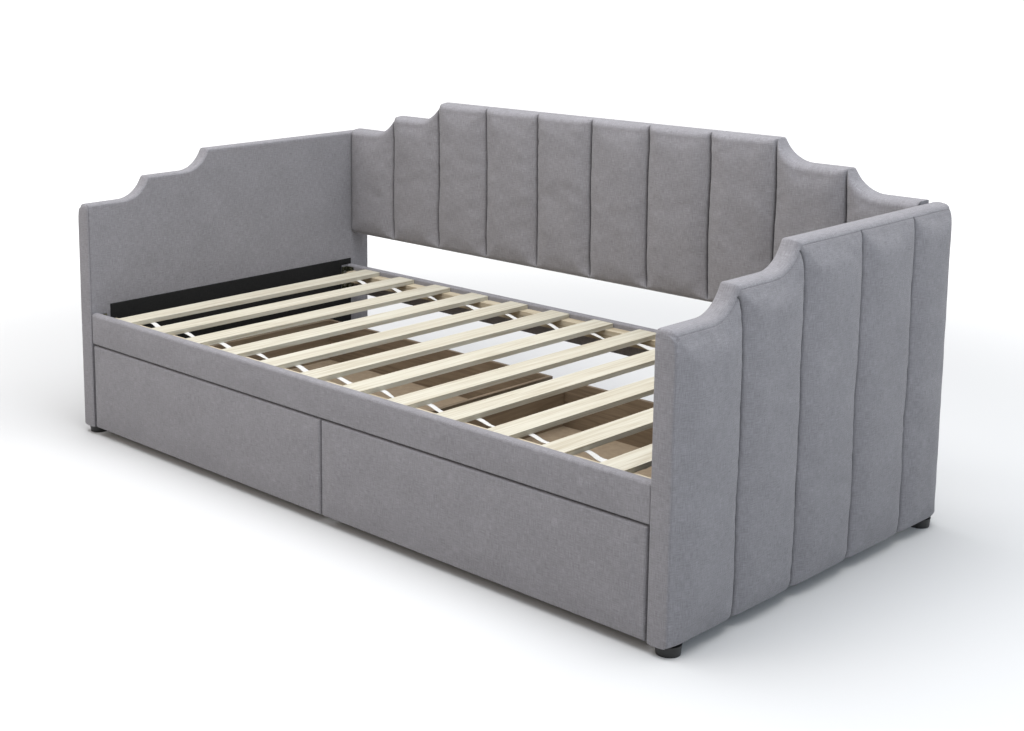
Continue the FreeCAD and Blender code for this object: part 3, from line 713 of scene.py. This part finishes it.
def make_tape(node, seed):
    """White tape under the slats: flat on each slat and sagging between them, as a squared sine."""
    low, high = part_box(node)
    slats = sorted(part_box(name)[0].x for name in frame["nodes"] if name.startswith("slat_"))
    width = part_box("slat_01")[1].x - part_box("slat_01")[0].x
    pitch = slats[1] - slats[0]
    slat_edges = [slats[0], *(x + w for x in slats[:-1] for w in (width, pitch)), slats[-1] + width]
    columns = spread(slat_edges, 3 * MM, 0.2, 9 * MM)
    rows = np.linspace(low.y, high.y, 6)
    chance = np.random.default_rng(seed)
    depth = chance.uniform(5 * MM, 11 * MM, len(slats))
    twist = chance.uniform(-0.35, 0.35, len(slats))

    def bulge(along, across):
        """The sag between two slats, which is deeper at one edge of the tape than at the other."""
        place = (along - slats[0]) / pitch
        number = np.clip(np.floor(place).astype(int), 0, len(slats) - 1)
        part = np.clip((along - slats[0] - number * pitch - width) / (pitch - width), 0, 1)
        wave = np.sin(np.pi * part) ** 2
        return -wave * (depth[number] + twist[number] * (across - (low.y + high.y) / 2))

    def place(a, b, t):
        """The tape hangs just under the slats."""
        return a, b, high.z - 0.9 * MM + t

    points, quads = sheet_points(columns, rows, bulge, 0.8 * MM, place)
    mesh = make_mesh(f"{node}_tape", points, quads)
    piece = add_piece(f"{node}_tape", mesh, "bed_frame", white_tape, [node])
    return piece


# Finishes

def put(tree, kind, wires=None, **settings):
    """Adds a node. wires gives its inputs, by name or number, a value or another node's output."""
    item = tree.nodes.new(kind)
    for name, value in settings.items():
        setattr(item, name, value)
    for key, value in (wires or {}).items():
        socket = item.inputs[key]
        if isinstance(value, bpy.types.NodeSocket):
            tree.links.new(value, socket)
        else:
            socket.default_value = value
    return item


def maths(tree, operation, *values):
    """One Math node's output."""
    return put(tree, "ShaderNodeMath", dict(enumerate(values)), operation=operation).outputs[0]


def noise(tree, vector, scale, **more):
    """Noise from nought to one. more gives its other inputs by name."""
    wires = {"Vector": vector, "Scale": scale, **more}
    return put(tree, "ShaderNodeTexNoise", wires).outputs[0]


def ranged(tree, value, low, high, first, last, **more):
    """A value from low to high stretched to run from first to last, and kept between them."""
    wires = {0: value, 1: low, 2: high, 3: first, 4: last}
    return put(tree, "ShaderNodeMapRange", wires, clamp=True, **more).outputs[0]


def new_group(name, inputs, outputs):
    """An empty shader group with its named inputs and outputs."""
    group = bpy.data.node_groups.new(name, "ShaderNodeTree")
    for title, kind in inputs:
        group.interface.new_socket(title, in_out="INPUT", socket_type=kind)
    for title, kind in outputs:
        group.interface.new_socket(title, in_out="OUTPUT", socket_type=kind)
    return group, group.nodes.new("NodeGroupInput"), group.nodes.new("NodeGroupOutput")


VECTOR, VALUE = "NodeSocketVector", "NodeSocketFloat"


def stretched_noise(tree, vector, scale, detail=3.0, shift=0.0):
    """Noise drawn out along the axes where the scale is small."""
    wires = {"Vector": vector, "Location": (shift, shift, shift), "Scale": scale}
    moved = put(tree, "ShaderNodeMapping", wires).outputs[0]
    return noise(tree, moved, 1.0, Detail=detail, Roughness=0.6)


def make_weave_group():
    """Plain weave with slubs. Shade is the yarns' light and dark, Relief their height: sine waves
    both ways, and noise drawn out along each yarn."""
    group, entry, leave = new_group(
        "plain_weave", [("Cloth", VECTOR), ("Threads", VALUE), ("Slub", VALUE)],
        [("Shade", VALUE), ("Relief", VALUE)],
    )
    cloth, threads = entry.outputs["Cloth"], entry.outputs["Threads"]
    across, up, _ = put(group, "ShaderNodeSeparateXYZ", {0: cloth}).outputs
    warp = maths(group, "SINE", maths(group, "MULTIPLY", across, threads))
    weft = maths(group, "SINE", maths(group, "MULTIPLY", up, threads))
    crossing = maths(group, "MULTIPLY", warp, weft)
    lying = stretched_noise(group, cloth, (50, 620, 1))
    standing = stretched_noise(group, cloth, (620, 50, 1), shift=5.0)
    broad = stretched_noise(group, cloth, (9, 9, 1), detail=2.0, shift=9.0)
    yarns = maths(group, "ADD", lying, standing)
    centred = maths(group, "SUBTRACT", yarns, 1.0)
    uneven = maths(group, "MULTIPLY", centred, entry.outputs["Slub"])
    patch = maths(group, "MULTIPLY", maths(group, "SUBTRACT", broad, 0.5), 0.22)
    shade = maths(group, "ADD", uneven, patch)
    shade = maths(group, "ADD", shade, maths(group, "MULTIPLY", crossing, 0.08))
    group.links.new(maths(group, "ADD", shade, 0.5), leave.inputs["Shade"])
    relief = maths(group, "ADD", maths(group, "MULTIPLY", crossing, 0.35), yarns)
    group.links.new(relief, leave.inputs["Relief"])
    return group


def make_stitch_group():
    """A row of stitches: Mask is one within the width of the row, on the dashes of a sine wave
    along it."""
    group, entry, leave = new_group(
        "stitches", [("Far", VALUE), ("Run", VALUE), ("Pitch", VALUE), ("Width", VALUE)],
        [("Mask", VALUE)],
    )
    far, run, pitch, width = entry.outputs[:4]
    off = maths(group, "DIVIDE", maths(group, "ABSOLUTE", far), width)
    beside = ranged(group, off, 0.7, 1.2, 1.0, 0.0)
    turns = maths(group, "MULTIPLY", maths(group, "DIVIDE", run, pitch), 2 * math.pi)
    dash = ranged(group, maths(group, "SINE", turns), -0.6, -0.2, 0.0, 1.0)
    group.links.new(maths(group, "MULTIPLY", beside, dash), leave.inputs["Mask"])
    return group


def make_grain_group():
    """Straight wood grain along one axis. Stretch is its scale along the three axes. The shade is
    a sine of broad noise, as growth rings, over the noise of the fibres."""
    group, entry, leave = new_group(
        "straight_grain", [("Place", VECTOR), ("Stretch", VECTOR)],
        [("Shade", VALUE), ("Relief", VALUE)],
    )
    wires = {0: entry.outputs["Place"], 1: entry.outputs["Stretch"]}
    scaled = put(group, "ShaderNodeVectorMath", wires, operation="MULTIPLY").outputs[0]
    broad = noise(group, scaled, 0.22, Detail=2.0, Distortion=0.6)
    rings = maths(group, "SINE", maths(group, "MULTIPLY", broad, 46.0))
    fibre = noise(group, scaled, 1.6, Detail=4.0, Roughness=0.65)
    shade = maths(group, "ADD", maths(group, "MULTIPLY", rings, 0.16), fibre)
    group.links.new(shade, leave.inputs["Shade"])
    group.links.new(fibre, leave.inputs["Relief"])
    return group


def make_mottle_group():
    """Soft patches with fine specks, for metal, plastic and board."""
    group, entry, leave = new_group(
        "mottle", [("Place", VECTOR), ("Patch", VALUE), ("Speck", VALUE)],
        [("Patches", VALUE), ("Specks", VALUE)],
    )
    place, patch, speck = entry.outputs[:3]
    group.links.new(noise(group, place, patch, Detail=4.0), leave.inputs["Patches"])
    group.links.new(noise(group, place, speck, Detail=2.0), leave.inputs["Specks"])
    return group


def new_material(name, roughness, **constants):
    """A material with its Principled shader, whose constant sockets are set directly."""
    material = bpy.data.materials.new(name)
    material.use_nodes = True
    tree = material.node_tree
    shader = tree.nodes["Principled BSDF"]
    shader.inputs["Roughness"].default_value = roughness
    for title, value in constants.items():
        shader.inputs[title.replace("_", " ")].default_value = value
    return material, tree, shader


def colour_between(tree, amount, stops):
    """A colour ramp through (place, colour) stops."""
    ramp = put(tree, "ShaderNodeValToRGB", {0: amount})
    band = ramp.color_ramp
    band.elements[0].position, band.elements[1].position = stops[0][0], stops[-1][0]
    band.elements[0].color = (*stops[0][1], 1)
    band.elements[1].color = (*stops[-1][1], 1)
    for place, colour in stops[1:-1]:
        band.elements.new(place).color = (*colour, 1)
    return ramp.outputs[0]


def bump(tree, shader, height, strength, distance):
    """Raises the surface by a height, through the shader's normal."""
    wires = {"Height": height, "Strength": strength, "Distance": distance}
    tree.links.new(put(tree, "ShaderNodeBump", wires).outputs[0], shader.inputs["Normal"])


def use_group(tree, group, wires):
    """Places a shared group in a material's tree."""
    return put(tree, "ShaderNodeGroup", wires, node_tree=group)


def paint_over(tree, mask, below, above):
    """One colour over another where the mask is one. Above may be plain numbers."""
    wires = {0: mask, 6: below, 7: above}
    return put(tree, "ShaderNodeMix", wires, data_type="RGBA").outputs[2]


def held_value(tree, title):
    """A number that the mesh holds at each point."""
    return put(tree, "ShaderNodeAttribute", attribute_name=title).outputs["Fac"]


def object_place(tree):
    """The place on the object, in metres."""
    return put(tree, "ShaderNodeTexCoord").outputs["Object"]


def cloth_map(tree):
    """The place on the flat cloth, in metres."""
    return put(tree, "ShaderNodeUVMap", uv_map="weave").outputs[0]


def make_linen():
    """Grey linen-look cloth: slubbed plain weave, with painted shade darkening it towards near
    black in the sewn creases and folds, and the stitches' thread on top."""
    material, tree, shader = new_material(
        "grey_linen", 0.9, Sheen_Weight=0.12, Sheen_Roughness=0.5, Specular_IOR_Level=0.25
    )
    weave = use_group(tree, weave_group, {
        "Cloth": cloth_map(tree), "Threads": 5200.0, "Slub": 0.8,
    })
    cloth = colour_between(tree, weave.outputs["Shade"], [
        (0.1, (0.128, 0.122, 0.130)), (0.5, (0.206, 0.200, 0.213)), (0.9, (0.295, 0.288, 0.306)),
    ])
    # Painted shade: the cloth's colour goes towards near black where the mesh's crease values are
    # high, in the seams' creases and the folds at the edges.
    crease_shaded = paint_over(tree, held_value(tree, "crease_shade"), cloth, (0.045, 0.043, 0.047, 1))
    mask = use_group(tree, stitch_group, {
        "Far": held_value(tree, "stitch_far"), "Run": held_value(tree, "stitch_run"),
        "Pitch": 4.5 * MM, "Width": 0.45 * MM,
    }).outputs["Mask"]
    threaded = paint_over(tree, mask, crease_shaded, (0.15, 0.145, 0.155, 1))
    tree.links.new(threaded, shader.inputs["Base Color"])
    height = maths(tree, "ADD", weave.outputs["Relief"], maths(tree, "MULTIPLY", mask, 1.5))
    bump(tree, shader, height, 0.5, 0.5 * MM)
    return material


def make_wood(name, stretch, stops, roughness, relief=0.25):
    """Wood, or board with a printed grain, that runs where the stretch is least."""
    material, tree, shader = new_material(name, roughness, Specular_IOR_Level=0.3)
    grain = use_group(tree, grain_group, {"Place": object_place(tree), "Stretch": stretch})
    colour = colour_between(tree, grain.outputs["Shade"], stops)
    tree.links.new(colour, shader.inputs["Base Color"])
    bump(tree, shader, grain.outputs["Relief"], relief, 0.4 * MM)
    return material


def make_mottled(name, patch, speck, stops, roughness, metallic=0.0, relief=0.2):
    """A surface of soft patches and fine specks, the sizes of both given as scales."""
    material, tree, shader = new_material(name, roughness, Metallic=metallic)
    mottle = use_group(tree, mottle_group, {
        "Place": object_place(tree), "Patch": patch, "Speck": speck,
    })
    colour = colour_between(tree, mottle.outputs["Patches"], stops)
    tree.links.new(colour, shader.inputs["Base Color"])
    bump(tree, shader, mottle.outputs["Specks"], relief, 0.2 * MM)
    return material


def make_woven(name, threads, stops, relief):
    """A cloth finish on the weave map alone."""
    material, tree, shader = new_material(name, 0.95, Specular_IOR_Level=0.15)
    weave = use_group(tree, weave_group, {
        "Cloth": cloth_map(tree), "Threads": threads, "Slub": 0.8,
    })
    colour = colour_between(tree, weave.outputs["Shade"], stops)
    tree.links.new(colour, shader.inputs["Base Color"])
    bump(tree, shader, weave.outputs["Relief"], relief, 0.3 * MM)
    return material


weave_group = make_weave_group()
stitch_group = make_stitch_group()
grain_group = make_grain_group()
mottle_group = make_mottle_group()
linen = make_linen()
black_cloth = make_woven("black_nonwoven", 3800.0, [
    (0.2, (0.008, 0.008, 0.008)), (0.8, (0.018, 0.018, 0.018)),
], 0.4)
white_tape = make_woven("white_tape", 4200.0, [
    (0.2, (0.44, 0.43, 0.42)), (0.8, (0.62, 0.62, 0.60)),
], 0.5)
slat_wood = make_wood("pale_pine", (150, 4, 150), [
    (0.15, (0.36, 0.315, 0.235)), (0.5, (0.455, 0.425, 0.345)), (0.85, (0.525, 0.505, 0.43)),
], 0.6)
ledge_wood = make_wood("ledge_pine", (4, 150, 150), [
    (0.2, (0.30, 0.24, 0.16)), (0.5, (0.42, 0.36, 0.26)), (0.8, (0.51, 0.45, 0.34)),
], 0.6)
BROWN_GRAIN = [
    (0.2, (0.19, 0.145, 0.098)), (0.5, (0.235, 0.18, 0.125)), (0.8, (0.28, 0.22, 0.155)),
]
drawer_wood = make_wood("brown_board", (90, 5, 90), BROWN_GRAIN, 0.55, 0.15)
cross_wood = make_wood("brown_board_across", (5, 90, 90), BROWN_GRAIN, 0.55, 0.15)
bottom_wood = make_mottled("hardboard", 60.0, 900.0, [
    (0.3, (0.30, 0.23, 0.16)), (0.7, (0.37, 0.29, 0.20)),
], 0.6)
chip_board = make_mottled("chip_board", 420.0, 1500.0, [
    (0.3, (0.30, 0.20, 0.11)), (0.5, (0.48, 0.35, 0.21)), (0.7, (0.62, 0.49, 0.32)),
], 0.8)
bracket_metal = make_mottled("mottled_steel", 190.0, 1200.0, [
    (0.38, (0.022, 0.022, 0.014)), (0.55, (0.075, 0.078, 0.048)), (0.68, (0.24, 0.23, 0.15)),
], 0.38, 0.6)
zinc = make_mottled("zinc_plate", 300.0, 1200.0, [
    (0.3, (0.42, 0.42, 0.40)), (0.7, (0.60, 0.60, 0.58)),
], 0.35, 1.0)
plastic = make_mottled("black_plastic", 80.0, 2500.0, [
    (0.3, (0.010, 0.010, 0.010)), (0.7, (0.018, 0.018, 0.018)),
], 0.42)


# The pieces

for side in ("left", "right"):
    make_side_cover(side)
    make_dust_cloth(side)
make_back_cover()
RAIL_INNER_EDGES = (2 * MM, 3 * MM, 5 * MM)
make_bolster("front_rail_upholstery", "front_rail_cover", -1, (3 * MM, 4 * MM, 8 * MM),
             RAIL_INNER_EDGES, 1.5 * MM, 70, "bed_frame")
make_bolster("rear_rail_upholstery", "rear_rail_cover", 1, (3 * MM, 4 * MM, 5 * MM),
             RAIL_INNER_EDGES, 1.0 * MM, 74, "bed_frame")
for side, seed in (("left", 78), ("right", 82)):
    make_bolster(f"{side}_drawer_upholstery", f"{side}_drawer_front_cover", -1,
                 (7 * MM, 7 * MM, 6 * MM), (1 * MM, 1 * MM, 1 * MM), 2 * MM, seed,
                 f"{side}_drawer", 13 * MM)
make_tape("front_webbing", 51)
make_tape("rear_webbing", 52)

FINISHES = {
    "slat_timber": slat_wood,
    "ledge_timber": ledge_wood,
    "drawer_board": drawer_wood,
    "drawer_bottom": bottom_wood,
    "frame_board": chip_board,
    "bracket_steel": bracket_metal,
    "fastener_steel": zinc,
    "black_plastic": plastic,
}
for part in frame["record"]["subparts"]:
    finish = FINISHES.get(part["material_slot"])
    if part["node"].endswith("back_wall"):
        finish = cross_wood
    if finish is not None:
        for slot in frame["nodes"][part["node"]].material_slots:
            slot.material = finish


# Floor, lights and camera

def make_floor():
    """A pale floor that brightens to white away from the bed, and can be looked up through."""
    half, clear_near, white_far, glow_most = 30.0, 1.5, 4.0, 0.75
    corners = [(-half, -half, 0), (half, -half, 0), (half, half, 0), (-half, half, 0)]
    mesh = bpy.data.meshes.new("floor")
    mesh.from_pydata(corners, [], [(0, 1, 2, 3)])
    material, tree, shader = new_material("pale_floor", 0.9, Emission_Strength=1.0)
    shader.inputs["Base Color"].default_value = (0.60, 0.60, 0.60, 1)
    away = put(tree, "ShaderNodeVectorMath", {0: object_place(tree)}, operation="LENGTH")
    fade = ranged(tree, away.outputs["Value"], clear_near, white_far, 0.0, glow_most,
                  interpolation_type="SMOOTHSTEP")
    glow = colour_between(tree, fade, [(0, (0, 0, 0)), (1, (1, 1, 1))])
    tree.links.new(glow, shader.inputs["Emission Color"])
    below = put(tree, "ShaderNodeNewGeometry").outputs["Backfacing"]
    clear = put(tree, "ShaderNodeBsdfTransparent").outputs[0]
    either = put(tree, "ShaderNodeMixShader", {0: below, 1: shader.outputs[0], 2: clear})
    tree.links.new(either.outputs[0], tree.nodes["Material Output"].inputs[0])
    mesh.materials.append(material)
    floor = bpy.data.objects.new("floor", mesh)
    bpy.context.scene.collection.objects.link(floor)


def add_softbox(name, place, target, size, power, colour):
    """A soft rectangular lamp, turned to face its target."""
    lamp = bpy.data.lights.new(name, "AREA")
    lamp.shape = "RECTANGLE"
    lamp.size, lamp.size_y = size
    lamp.energy = power
    lamp.color = colour
    item = bpy.data.objects.new(name, lamp)
    item.location = place
    item.rotation_mode = "QUATERNION"
    item.rotation_quaternion = (Vector(target) - Vector(place)).to_track_quat("-Z", "Y")
    bpy.context.scene.collection.objects.link(item)


def light_the_room():
    """A white studio: what the camera sees is pure white, and lights the bed less than it shows.
    Three softboxes stand overhead, in front to the left, and to the right."""
    world = bpy.data.worlds.new("studio")
    world.use_nodes = True
    tree = world.node_tree
    seen = put(tree, "ShaderNodeBackground", {"Color": (1, 1, 1, 1), "Strength": 1.0})
    lit = tree.nodes["Background"]
    lit.inputs["Color"].default_value = (0.98, 0.99, 1.0, 1)
    lit.inputs["Strength"].default_value = 0.55
    ray = put(tree, "ShaderNodeLightPath").outputs["Is Camera Ray"]
    either = put(tree, "ShaderNodeMixShader", {0: ray, 1: lit.outputs[0], 2: seen.outputs[0]})
    tree.links.new(either.outputs[0], tree.nodes["World Output"].inputs[0])
    bpy.context.scene.world = world
    add_softbox("overhead", (0.2, -0.3, 3.6), (0, 0, 0.3), (4.4, 3.2), 222, (0.97, 0.98, 1.0))
    add_softbox("front_key", (-1.4, -4.2, 2.2), (0, 0, 0.4), (2.6, 2.0), 36, (1.0, 0.86, 0.74))
    add_softbox("side_fill", (4.4, -0.6, 2.0), (0, 0, 0.4), (2.4, 2.0), 35, (0.62, 0.81, 1.0))


def aim_camera():
    """A camera turned left by the yaw and down by the pitch, with the lens shifted to frame it."""
    yaw, pitch, roll = 0.820, 0.174, 0.004
    focal, wide, tall = 1594.2, 1024, 731
    centre_x, centre_y = 358.4, 211.9
    sensor = 36
    lens = bpy.data.cameras.new("camera")
    lens.sensor_width = sensor
    lens.lens = focal / wide * sensor
    lens.shift_x = (wide / 2 - centre_x) / wide
    lens.shift_y = (centre_y - tall / 2) / wide
    lens.clip_end = 100
    camera = bpy.data.objects.new("camera", lens)
    camera.location = (2.7322, -2.9548, 1.4045)
    level = math.cos(pitch)
    ahead = Vector((-math.sin(yaw) * level, math.cos(yaw) * level, -math.sin(pitch)))
    camera.rotation_mode = "QUATERNION"
    camera.rotation_quaternion = ahead.to_track_quat("-Z", "Y") @ Quaternion((0, 0, 1), -roll)
    bpy.context.scene.collection.objects.link(camera)
    bpy.context.scene.camera = camera


make_floor()
light_the_room()
aim_camera()
bpy.context.scene.view_settings.view_transform = "Standard"
